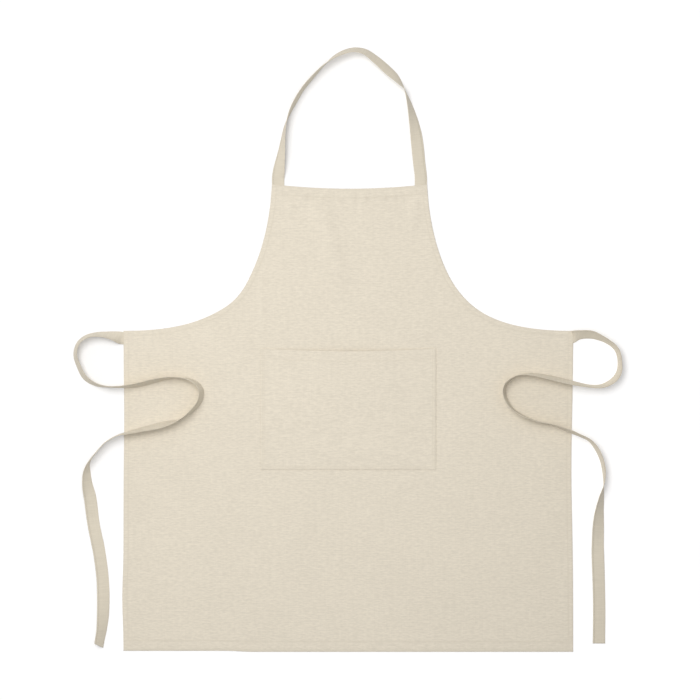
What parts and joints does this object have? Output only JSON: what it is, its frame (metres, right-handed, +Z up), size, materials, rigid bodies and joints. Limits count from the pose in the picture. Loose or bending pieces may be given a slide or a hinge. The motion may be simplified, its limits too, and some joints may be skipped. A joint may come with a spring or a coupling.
{
  "type": "bib apron",
  "caption": "Cotton canvas bib apron laid out flat, with a wide patch pocket, a fixed neck strap and long waist ties, all sewn from plain folded tape.",
  "frame": {"origin": "on the surface that the apron lies on, under the middle of its cloth, halfway between the side edges and halfway between the bib's top corners and the bottom edge", "axes": "+Z up out of the apron's front, +Y along the apron towards the bib and the neck strap, +X towards the right side as seen from the front"},
  "size_m": [0.9767, 1.076, 0.0247],
  "materials": {
    "panel_canvas": "unbleached plain-weave cotton canvas",
    "pocket_canvas": "the same canvas, pressed",
    "tape": "folded and pressed cotton tape with fine cross ribs",
    "thread": "matt cotton sewing thread"
  },
  "bodies": {
    "apron": {"body_panel": "panel_canvas", "front_pocket": "pocket_canvas", "neck_strap_left_end": "tape", "neck_strap_right_end": "tape", "left_waist_tie": "tape", "right_waist_tie": "tape", "pocket_seam_thread": "thread", "pocket_mouth_hem_thread": "thread", "bottom_hem_thread": "thread", "bib_hem_thread": "thread", "left_side_hem_thread": "thread", "right_side_hem_thread": "thread", "left_armhole_hem_thread": "thread", "right_armhole_hem_thread": "thread", "left_neck_strap_thread": "thread", "right_neck_strap_thread": "thread", "left_tie_thread": "thread", "right_tie_thread": "thread"},
    "neck_loop": {"neck_strap": "tape"}
  },
  "joints": [
    {"name": "neck_strap_fold", "type": "hinge", "parent": "apron", "child": "neck_loop", "pos_m": [0, 0.419, 0.0012], "axis": [1, 0, 0], "range_deg": [0, 150]}
  ]
}
